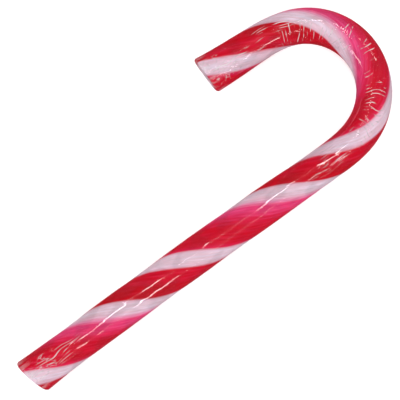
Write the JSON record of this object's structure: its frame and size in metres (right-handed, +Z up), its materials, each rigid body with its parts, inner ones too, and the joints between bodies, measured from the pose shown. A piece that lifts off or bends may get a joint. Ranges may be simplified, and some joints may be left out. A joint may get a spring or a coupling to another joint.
{
  "type": "candy cane",
  "caption": "Hooked stick of twisted hard candy, a straight round shaft bent over into an open crook, lying on its side.",
  "frame": {"origin": "under the middle of the cane's outline seen from above, on the surface it lies on", "axes": "+Y along the straight shaft towards the hook, +X away from the hook's free end, +Z up out of the surface"},
  "size_m": [0.0536, 0.1412, 0.0117],
  "materials": {
    "candy": "glossy boiled sugar in twisted red and white strands, under a clear shrink film"
  },
  "bodies": {
    "root": {"candy_cane": "candy"}
  },
  "joints": []
}
